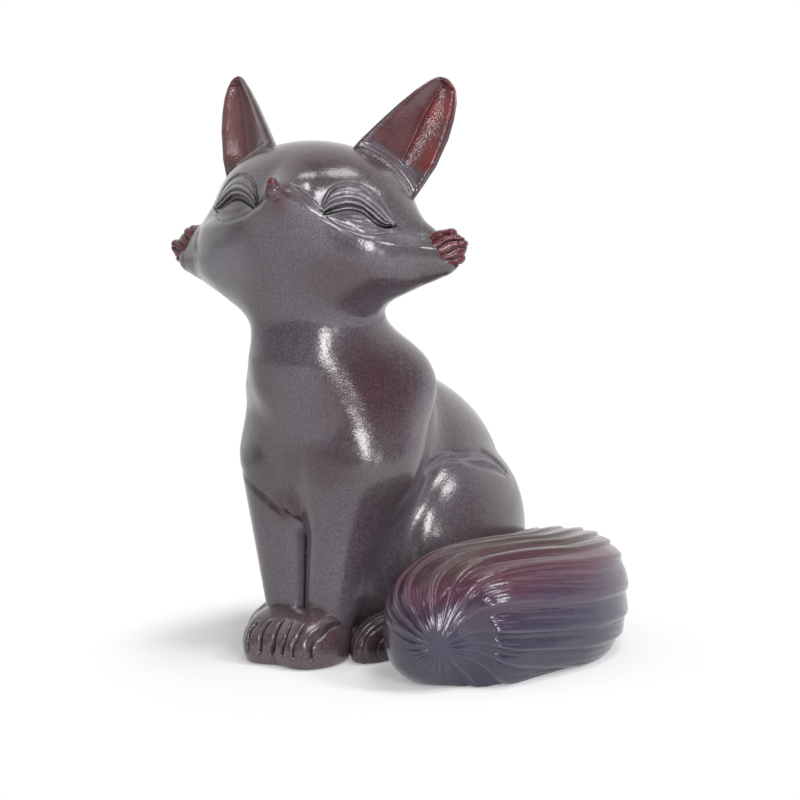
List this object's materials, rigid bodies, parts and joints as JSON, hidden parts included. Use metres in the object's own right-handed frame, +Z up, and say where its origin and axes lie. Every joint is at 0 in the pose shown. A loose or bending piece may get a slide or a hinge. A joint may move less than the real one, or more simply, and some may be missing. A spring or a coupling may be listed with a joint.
{
  "type": "seated fox ornament",
  "caption": "Seated fox ornament in glossy kiln-change glaze, with raised ears, cheek ruffs and a combed brush of a tail laid along its left side.",
  "frame": {"origin": "on the ground under the body, between the forelegs and the rump, in the plane that parts the body's left from its right", "axes": "+Z up, -Y the way the fox faces, +X the fox's left, where the tail lies"},
  "size_m": [0.0812, 0.0829, 0.1098],
  "materials": {
    "body_glaze": "glossy",
    "head_glaze": "glossy",
    "ear_glaze": "glossy",
    "thin_glaze": "glossy",
    "paw_glaze": "glossy",
    "tail_glaze": "glossy",
    "bare_clay": "matte"
  },
  "bodies": {
    "root": {"body_shell": "body_glaze", "head_shell": "head_glaze", "nose_tip": "thin_glaze", "ear_left": "ear_glaze", "ear_right": "ear_glaze", "cheek_ruff_left": "thin_glaze", "cheek_ruff_right": "thin_glaze", "foreleg_left": "body_glaze", "foreleg_right": "body_glaze", "front_paw_left": "paw_glaze", "front_paw_right": "paw_glaze", "haunch_left": "body_glaze", "haunch_right": "body_glaze", "hind_paw_left": "paw_glaze", "hind_paw_right": "paw_glaze", "tail": "tail_glaze", "base_plate": "bare_clay"}
  },
  "joints": []
}
